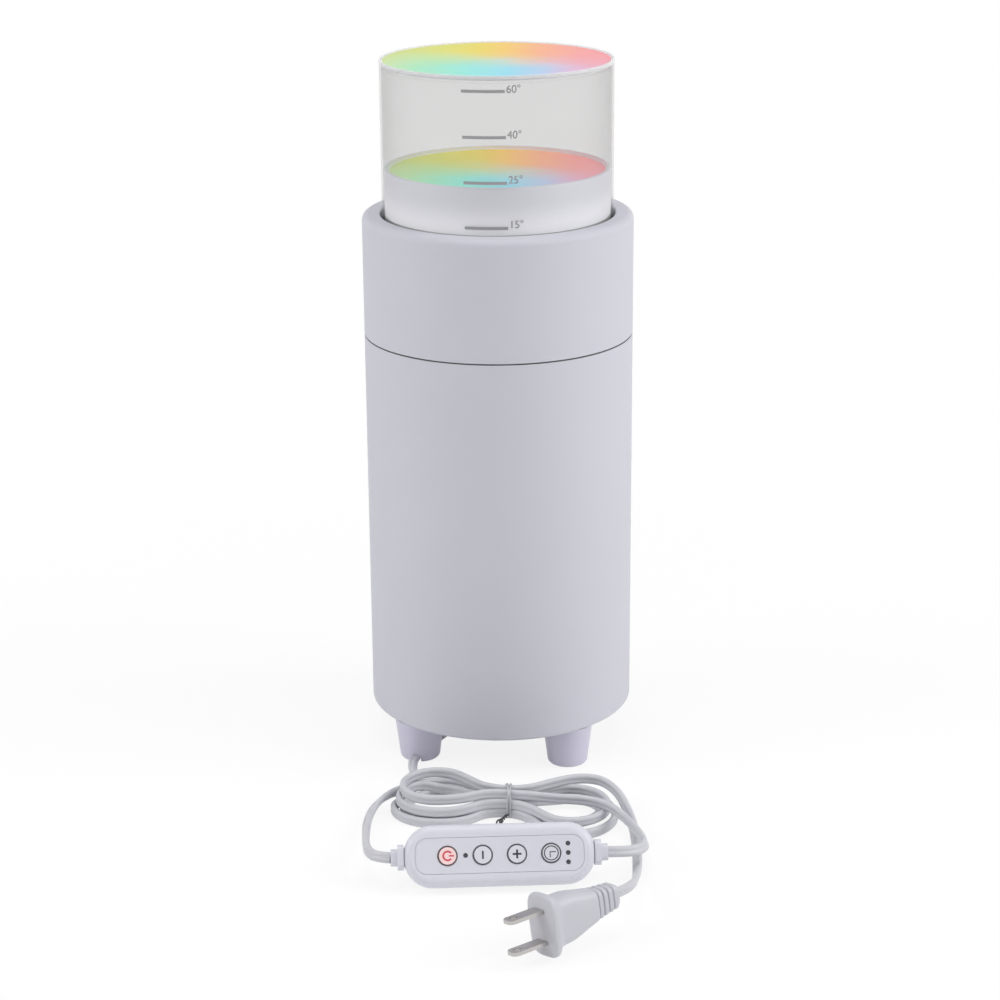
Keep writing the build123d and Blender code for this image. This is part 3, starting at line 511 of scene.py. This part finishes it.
signs = {
    "power": [
        arc_strip(0.0014, 0.00215, 38, 284),
        bar_strip(0.00155, 0, 0.0021, 0.00065),
    ],
    "dimmer": [
        bar_strip(0, 0, 0.00072, 0.0033),
    ],
    "brighter": [
        bar_strip(0, 0, 0.0008, 0.0036),
        bar_strip(-0.0011, 0, 0.0014, 0.0008),
        bar_strip(0.0011, 0, 0.0014, 0.0008),
    ],
    "timer": [
        arc_strip(0.00262, 0.00305),
        bar_strip(0.0006, 0.0005, 0.0026, 0.0004),
        bar_strip(-0.0005, -0.00075, 0.0004, 0.0021),
    ],
}
key_pieces = []
for key, strips in signs.items():
    node = nodes["button_" + key]
    cap_ink, cap_colour = (red_ink, key_pink) if key == "power" else (dark_ink, key_white)
    corners = [corner.co for corner in node.data.vertices]
    top = max(corner.dot(face_normal) for corner in corners)
    top_corners = [corner for corner in corners if corner.dot(face_normal) > top - key_top_slack]
    middle = sum(top_corners, Vector()) / len(top_corners)
    dress(key_cap("key_" + key, middle, cap_colour), "button_" + key)
    key_pieces += [node, face_print(key + "_sign", strips, cap_ink, middle, key + "_key")]


# Mains cord: flat two-core flex in soft off-white plastic, a shallow groove between its cores.
# It leaves a right-angle gland under the lamp, passes a foot's notch, is wound into a tied hank and
# runs on through the controller to the plug.
cord_finish = moulded_plastic("cord_plastic", (0.57, 0.57, 0.612), 0.4, grain_size=0.0010)
dress(cord_finish, "cord_gland", "mains_tail")
cord_width, cord_thickness = 0.0046, 0.0027
core_steps, core_step_angle = 8, 15.5


def cord_section():
    """Outline of the two cores side by side, with the groove between them."""
    core = cord_thickness / 2
    offset = cord_width / 2 - core
    points = []
    for side in (1, -1):
        for step in range(-core_steps, core_steps + 1):
            angle = math.radians(step * core_step_angle)
            points.append((side * (offset + core * math.cos(angle)), side * core * math.sin(angle)))
    return points


def cord_piece(name, points):
    """The flex swept along a smooth line through its chosen points; returns the tube and its line."""
    line = bpy.data.curves.new(name + "_line", "CURVE")
    line.dimensions = "3D"
    line.twist_mode = "Z_UP"
    line.resolution_u = 6
    spline = line.splines.new("NURBS")
    spline.points.add(len(points) - 1)
    for spot, (x, y, z, tilt) in zip(spline.points, points):
        spot.co = (x / 1000, y / 1000, z / 1000, 1)
        spot.tilt = math.radians(tilt)
    spline.order_u = 3
    spline.use_endpoint_u = True
    outline = bpy.data.curves.new("section", "CURVE")
    section = cord_section()
    loop = outline.splines.new("POLY")
    loop.points.add(len(section) - 1)
    for spot, (x, y) in zip(loop.points, section):
        spot.co = (x, y, 0, 1)
    loop.use_cyclic_u = True
    carrier = stand(name + "_line", line)
    section_carrier = stand("section", outline)
    path = [tuple(corner.co) for corner in plain_mesh(carrier).vertices]
    line.bevel_mode = "OBJECT"
    line.bevel_object = section_carrier
    line.use_fill_caps = True
    tube = plain_mesh(carrier)
    for made in (carrier, section_carrier):
        bpy.data.objects.remove(made)
    joined = bmesh.new()
    joined.from_mesh(tube)
    bmesh.ops.remove_doubles(joined, verts=joined.verts, dist=1e-6)
    bmesh.ops.recalc_face_normals(joined, faces=joined.faces)
    joined.to_mesh(tube)
    joined.free()
    piece = new_piece(name, tube, cord_finish, "lamp")
    return piece, path


hank_x, hank_y, lobe_offset, hank_slant = 1.5, -95.2, 28.1, 0.155
waist_half, on_edge = 8, 90


def lobe(side, angle, reach, depth, z):
    """A point of an oval lobe at the hank's left or right end, the cord on edge."""
    turn = math.radians(angle)
    x = side * lobe_offset
    y = hank_y - hank_slant * x + depth * math.sin(turn)
    return (hank_x + x + reach * math.cos(turn), y, z, on_edge)


def waist(aside, z):
    """Two points of a strand that passes through the tie."""
    return [
        (hank_x + x, hank_y + aside - hank_slant * x, z, on_edge) for x in (-waist_half, waist_half)
    ]


def hank_turn(left, left_z, front, right, right_z, back):
    """One turn of the hank from the left lobe, anticlockwise seen from above."""
    points = [lobe(-1, angle, *left, left_z) for angle in (120, 150, 180, 210, 240, 270, 300)]
    points += waist(*front)
    points += [lobe(1, angle, *right, right_z) for angle in (240, 270, 300, 330, 0, 30, 60, 90, 120)]
    points += waist(*back)[::-1]
    points += [lobe(-1, angle, *left, (left_z + back[1]) / 2) for angle in (60, 90)]
    return points


lead_points = [
    (-9.7, -5.31, 11.0, 0),
    (-14.9, -9.96, 11.0, 0),
    (-22.5, -16.4, 7.6, 20),
    (-30.3, -21.4, 3.8, 10),
    (-36.6, -28.8, 2.7, 0),
    (-38.1, -34.2, 2.7, 0),
    (-39.6, -39.4, 2.7, 0),
    (-40.7, -43.3, 2.5, 10),
    (-40.2, -52.0, 2.4, 60),
    (-39.0, -62.0, 2.4, 90),
    (-39.0, -71.0, 2.4, 90),
    (-41.0, -79.6, 2.4, 90),
    (-45.4, -86.0, 2.4, 90),
]
turns = hank_turn((21.6, 17.2), 2.3, (-3.2, 3.0), (20.0, 21.0), 2.3, (3.2, 3.0))[2:]
turns += hank_turn((17.4, 13.4), 2.4, (0.0, 3.0), (13.0, 12.4), 4.2, (0.0, 7.2))
turns += hank_turn((19.2, 15.6), 6.9, (-3.2, 7.2), (16.8, 17.4), 6.8, (3.2, 7.2))
controller_points = [
    (-35.6, -76.4, 6.8, 90),
    (-43.0, -80.8, 6.6, 85),
    (-50.4, -86.0, 6.2, 60),
    (-56.0, -95.4, 5.0, 35),
    (-58.4, -109.0, 4.2, 40),
    (-58.0, -124.0, 5.2, 65),
    (-57.2, -140.0, 8.6, 80),
    (-55.6, -153.0, 11.6, 70),
    (-52.0, -160.2, 12.86, 60),
    (-45.95, -161.33, 12.86, 60),
]
lamp_cord, lamp_line = cord_piece("lamp_cord", lead_points + turns + controller_points)
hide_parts("lamp_lead", "cord_hank", "controller_lead")

crest = 11.4
plug_points = [
    (43.15, -157.12, 12.86, 60),
    (45.4, -157.0, 12.86, 60),
    (51.2, -156.7, 12.7, 60),
    (56.6, -153.4, 12.0, 60),
    (59.4, -147.6, 10.9, 65),
    (59.2, -139.0, 9.6, 75),
    (57.0, -128.2, 8.4, 80),
    (52.8, -117.2, 8.6, 90),
    (46.4, -108.6, 10.6, 90),
    (36.0, -104.0, crest, 90),
    (23.0, -102.6, crest, 90),
]
plug_points += waist(-1.9, 11.2)[::-1]
plug_points += [
    (-17.0, -101.8, crest, 90),
    (-28.6, -103.5, crest, 90),
    (-36.4, -101.5, crest, 90),
    (-41.9, -96.0, crest, 90),
    (-43.9, -88.6, crest, 90),
    (-41.9, -81.2, crest, 90),
    (-36.4, -75.8, crest, 90),
    (-29.0, -73.8, crest, 90),
    (-21.5, -75.6, crest, 90),
    (-15.4, -82.0, crest, 90),
]
plug_points += waist(2.3, 11.2)
plug_points += [
    (23.4, -84.4, 10.8, 90),
    (34.4, -79.6, 10.6, 90),
    (44.0, -81.2, 10.2, 90),
    (50.6, -89.0, 8.2, 80),
    (54.4, -101.0, 5.0, 60),
    (56.4, -114.5, 2.8, 40),
    (56.8, -130.0, 2.2, 30),
    (56.2, -146.0, 2.6, 40),
    (55.2, -161.0, 5.0, 55),
    (53.8, -175.0, 9.0, 70),
    (51.6, -188.0, 13.4, 80),
    (48.4, -195.4, 15.2, 85),
    (43.91, -199.41, 15.34, 85),
]
plug_cord, plug_line = cord_piece("plug_cord_flex", plug_points)
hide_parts("plug_cord")


# Hank tie: a thin coated wire passed three times round the waist, its two ends twisted together at the
# front. Most of the wire keeps its pale coating, and the twisted ends show dark.
tie_finish = moulded_plastic("tie_plastic", (0.50, 0.50, 0.54), 0.35)
tie_end_finish = moulded_plastic("tie_ends", (0.03, 0.03, 0.035), 0.4)
tie_sizes = {
    "Turns": 2.9,
    "Half Depth": 0.0053,
    "Half Height": 0.0067,
    "Spread": 0.0022,
    "Wire Radius": 0.00042,
}
tie_steps, tie_start, tie_wobble, wobble_pace = 110, 2.6, 0.0004, 31.0
tie_shift, tie_height = 1.2, 7.15
wire_sides = 10


def bent_wire(maker, spot, steps, radius):
    """A round wire with closed ends through the places of its steps."""
    row = maker.node("GeometryNodeMeshLine", {}, {"Count": steps})
    line = maker.node("GeometryNodeMeshToCurve", {}, {0: row})
    line = maker.node("GeometryNodeSetPosition", {}, {0: line, "Position": spot})
    section = {"Resolution": wire_sides, "Radius": radius}
    section = maker.node("GeometryNodeCurvePrimitiveCircle", {}, section)
    return maker.node("GeometryNodeCurveToMesh", {}, {0: line, 1: section, "Fill Caps": True})


def squarish(given):
    """Pushes a value outwards, so that the circle it draws becomes a rounded square."""
    return given.math("SIGN", given) * given.math("ABSOLUTE", given) ** 0.5


tie_maker, tie_inputs = new_tree("tie_wraps", tie_sizes)
turn_count, half_depth, half_height, spread, wire_radius = tie_inputs
share = tie_maker.node("GeometryNodeInputIndex") / (tie_steps - 1)
angle = share * turn_count * (2 * math.pi) - tie_start
wobble = tie_wobble * tie_maker.math("SINE", share * wobble_pace)
wire_spot = spot_at(
    tie_maker,
    (share - 0.5) * spread + wobble,
    half_depth * squarish(tie_maker.math("COSINE", angle)),
    half_height * squarish(tie_maker.math("SINE", angle)),
)
wire = bent_wire(tie_maker, wire_spot, tie_steps, wire_radius)
tie_mesh = grow(tie_maker, wire, tie_sizes, tie_finish)
tie_middle = Vector((hank_x + tie_shift, hank_y, tie_height)) / 1000
tie_mesh.transform(Matrix.Translation(tie_middle))
tie = new_piece("hank_tie_wire", tie_mesh, tie_finish, "lamp")
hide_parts("hank_tie")

twist_sizes = {"Length": 0.0085, "Twist": 0.00042, "Turns": 2.2, "Wire Radius": 0.00038}
twist_steps, twist_flare = 40, 3.0
twist_maker, twist_inputs = new_tree("tie_twist", twist_sizes)
twist_length, twist_reach, twist_turns, wire_radius = twist_inputs
twist_sheet = twist_maker.tree.nodes.new("GeometryNodeJoinGeometry").inputs["Geometry"]
share = twist_maker.node("GeometryNodeInputIndex") / (twist_steps - 1)
opening = twist_reach * (1.0 + twist_flare * share**4)
for side in (0, math.pi):
    angle = share * twist_turns * (2 * math.pi) + side
    wire_spot = spot_at(
        twist_maker,
        opening * twist_maker.math("COSINE", angle),
        opening * twist_maker.math("SINE", angle),
        twist_length * share,
    )
    twist_maker.feed(twist_sheet, bent_wire(twist_maker, wire_spot, twist_steps, wire_radius))
both_wires = Value(twist_maker.tree, twist_sheet.node.outputs[0])
twist_mesh = grow(twist_maker, both_wires, twist_sizes, tie_end_finish)
twist_heading = Vector((-0.42, -0.86, -0.03)).normalized()
twist_foot = tie_middle + Vector((-0.0006, -0.0052, -0.0044))
twist_turned = twist_heading.to_track_quat("Z", "Y").to_matrix().to_4x4()
twist_mesh.transform(Matrix.Translation(twist_foot) @ twist_turned)
tie_twist = new_piece("tie_twist", twist_mesh, tie_end_finish, "lamp")


# Plug: a two-blade mains plug moulded on to the cord, with a flared flange, a palm-shaped grip and a
# ribbed tail. The blades are plated brass strips with a hole near each bevelled tip.
plug_finish = moulded_plastic("plug_plastic", (0.545, 0.545, 0.595), 0.40, grain_size=0.0010)
blade_finish = brushed_metal("blade_nickel", (0.60, 0.58, 0.56), 0.30, 0.004)
dress(blade_finish, "plug_blade_lower", "plug_blade_upper")
plug_mount = next(mount for mount in frame["record"]["mounts"] if mount["name"] == "mains_blades")
plug_face = Vector(plug_mount["pos_m"])
plug_back = -Vector(plug_mount["axis"]).normalized()
plug_roll = math.radians(11.5)
plug_level = Vector((0, 0, 1)).cross(plug_back)
plug_tall = Vector((0, 0, 1)) * math.cos(plug_roll) + plug_level * math.sin(plug_roll)
plug_side = plug_back.cross(plug_tall)
plug_axes = Matrix((plug_tall, plug_side, plug_back)).transposed().to_4x4()
plug_frame = Matrix.Translation(plug_face) @ plug_axes
plug_length, flange_depth, tail_rise = 0.037, 0.0042, 0.0020
plug_slope = tail_rise / (plug_length - flange_depth)
plug_sides = 72
plug_profile = (
    (0.0, 11.0, 6.9, 4.0),
    (0.35, 12.1, 7.9, 4.0),
    (1.0, 12.6, 8.4, 4.0),
    (2.2, 12.7, 8.5, 4.0),
    (3.0, 12.5, 8.3, 4.0),
    (3.7, 11.9, 7.8, 4.0),
    (4.4, 11.0, 7.2, 3.9),
    (5.4, 10.2, 6.8, 3.8),
    (7.0, 9.8, 6.6, 3.8),
    (9.5, 9.8, 6.6, 3.7),
    (12.5, 9.6, 6.6, 3.6),
    (16.0, 8.8, 6.4, 3.6),
    (19.5, 7.8, 6.1, 3.6),
    (23.0, 6.9, 5.8, 3.8),
    (25.0, 6.4, 5.5, 4.0),
    (25.3, 5.4, 4.6, 4.0),
    (36.4, 4.4, 3.8, 4.0),
    (37.0, 4.0, 3.4, 4.0),
)
plug_work = bmesh.new()
loops = []
for distance, tall, wide, power in plug_profile:
    rise = plug_slope * max(0.0, distance / 1000 - flange_depth)
    loop = []
    for step in range(plug_sides):
        angle = 2 * math.pi * step / plug_sides
        up = math.copysign(abs(math.sin(angle)) ** (2 / power), math.sin(angle)) * tall / 1000 + rise
        aside = math.copysign(abs(math.cos(angle)) ** (2 / power), math.cos(angle)) * wide / 1000
        loop.append(plug_work.verts.new(plug_frame @ Vector((up, aside, distance / 1000))))
    loops.append(loop)
for near, far in zip(loops, loops[1:]):
    for step in range(plug_sides):
        later = (step + 1) % plug_sides
        plug_work.faces.new((near[step], near[later], far[later], far[step]))
plug_work.faces.new(loops[0])
plug_work.faces.new(loops[-1])
bmesh.ops.recalc_face_normals(plug_work, faces=plug_work.faces)
plug_mesh = bpy.data.meshes.new("plug_moulding")
plug_work.to_mesh(plug_mesh)
plug_work.free()
plug_moulding = new_piece("plug_moulding", plug_mesh, plug_finish, "lamp")
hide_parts("plug_body")

rib_count, rib_layers, rib_edge = 4, 10, 0.08
rib_sizes = {
    "First": 0.0266,
    "Pitch": 0.0027,
    "Thickness": 0.0021,
    "Half Height": 0.0060,
    "Half Width": 0.0053,
    "Shrink": 0.05,
    "Slope": plug_slope,
}
rib_maker, rib_inputs = new_tree("plug_ribs", rib_sizes)
first, pitch, thickness, half_height, half_width, shrink, slope = rib_inputs
disc_sizes = {"Vertices": plug_sides, "Side Segments": rib_layers, "Radius": 1.0, "Depth": thickness}
disc = rib_maker.node("GeometryNodeMeshCylinder", {}, disc_sizes)
spot = rib_maker.node("GeometryNodeInputPosition")
x, y, z = [axis_of(spot, axis) for axis in "XYZ"]
rounding = 1.0 - rib_edge * rib_maker.math("ABSOLUTE", z / (thickness / 2)) ** 6
up = squarish(x) * half_height * rounding
aside = squarish(y) * half_width * rounding
shaped = {0: disc, "Position": spot_at(rib_maker, up, aside, z)}
plate = rib_maker.node("GeometryNodeSetPosition", {}, shaped)
start = spot_at(rib_maker, (first - flange_depth) * slope, 0.0, first)
step = spot_at(rib_maker, pitch * slope, 0.0, pitch)
row_sizes = {"Count": rib_count, "Start Location": start, "Offset": step}
row = rib_maker.node("GeometryNodeMeshLine", {}, row_sizes)
smaller = 1.0 - shrink * rib_maker.node("GeometryNodeInputIndex")
fitted = spot_at(rib_maker, smaller, smaller, 1.0)
threaded = {"Points": row, "Instance": plate, "Scale": fitted}
ribs = rib_maker.node("GeometryNodeInstanceOnPoints", {}, threaded)
rib_mesh = grow(rib_maker, ribs, rib_sizes, plug_finish)
rib_mesh.transform(plug_frame)
plug_ribs = new_piece("plug_ribs", rib_mesh, plug_finish, "lamp")


# Studio: a plain white floor that carries on past the picture, and broad soft lamps over it.
# The room's light is held back on either side behind the lamp, as by dark flags, which firms up the
# edges of the white can. The camera is the photograph's.
def backdrop_rays(maker):
    """1 where the backdrop is seen, straight, mirrored or through glass, and 0 where it only lights."""
    kinds = ("Is Camera Ray", "Is Glossy Ray", "Is Transmission Ray")
    seen, mirrored, through = [maker.node("ShaderNodeLightPath", output=kind) for kind in kinds]
    return maker.math("MINIMUM", seen + mirrored + through, 1.0)


white = (1, 1, 1, 1)
shadow_middle, shadow_near, shadow_far = (0, -0.08, 0), 0.15, 0.6
near_white = 0.85
floor_material, maker, shader = new_finish("studio_floor")
floor_nodes = floor_material.node_tree.nodes
shader["Base Color"].default_value = (0.96, 0.96, 0.96, 1)
shader["Roughness"].default_value = 0.9
apart = {0: own_place(maker), 1: shadow_middle}
away = maker.node("ShaderNodeVectorMath", {"operation": "DISTANCE"}, apart, output="Value")
whiter = near_white + (1 - near_white) * ease(away, shadow_near, shadow_far)
share = whiter * backdrop_rays(maker)
lit = Value(floor_material.node_tree, floor_nodes["Principled BSDF"].outputs[0])
plain = maker.node("ShaderNodeEmission", {}, {"Color": white, "Strength": 1.0})
mixed = maker.node("ShaderNodeMixShader", {}, {0: share, 1: lit, 2: plain})
maker.feed(floor_nodes["Material Output"].inputs["Surface"], mixed)
reach = 12.0
floor_corners = [(-reach, -reach, 0), (reach, -reach, 0), (reach, reach, 0), (-reach, reach, 0)]
floor_mesh = bpy.data.meshes.new("studio_floor")
floor_mesh.from_pydata(floor_corners, [], [(0, 1, 2, 3)])
floor_mesh.materials.append(floor_material)
floor = stand("studio_floor", floor_mesh)

room_light, flag_depth = 0.57, 0.56
flag_front, flag_back = (-0.02, 0.2), (0.55, 0.8)
world = bpy.data.worlds.new("studio")
bpy.context.scene.world = world
world.use_nodes = True
backdrop = world.node_tree.nodes["Background"].inputs
backdrop["Color"].default_value = white
maker = Value(world.node_tree)
behind = axis_of(own_place(maker), "Y")
flags = ease(behind, *flag_front) * (1.0 - ease(behind, *flag_back))
room = room_light - flag_depth * flags
maker.feed(backdrop["Strength"], room + (1.0 - room) * backdrop_rays(maker))

lamp_aim = Vector((0, 0, 0.2))
for name, spot, size, power in (
    ("key_lamp", (1.15, -0.29, 0.85), 0.7, 9.0),
    ("side_lamp", (-1.15, -0.29, 0.85), 0.7, 6.2),
    ("top_lamp", (0, 0.1, 1.8), 1.2, 9.0),
):
    lamp_data = bpy.data.lights.new(name, "AREA")
    lamp_data.energy = power
    lamp_data.size = size
    lamp = stand(name, lamp_data)
    lamp.location = spot
    lamp.rotation_euler = (lamp_aim - Vector(spot)).to_track_quat("-Z", "Y").to_euler()

camera_spot = (0.00003, -1.09436, 0.47714)
camera_dip, camera_roll = math.radians(18.38), -0.0077
camera_data = bpy.data.cameras.new("camera")
camera_data.sensor_width = 36.0
camera_data.lens = 90.62
camera = stand("camera", camera_data)
camera.matrix_world = (
    Matrix.Translation(camera_spot)
    @ Matrix.Rotation(math.pi / 2 - camera_dip, 4, "X")
    @ Matrix.Rotation(camera_roll, 4, "Z")
)
bpy.context.scene.camera = camera
bpy.context.scene.view_settings.view_transform = "Standard"
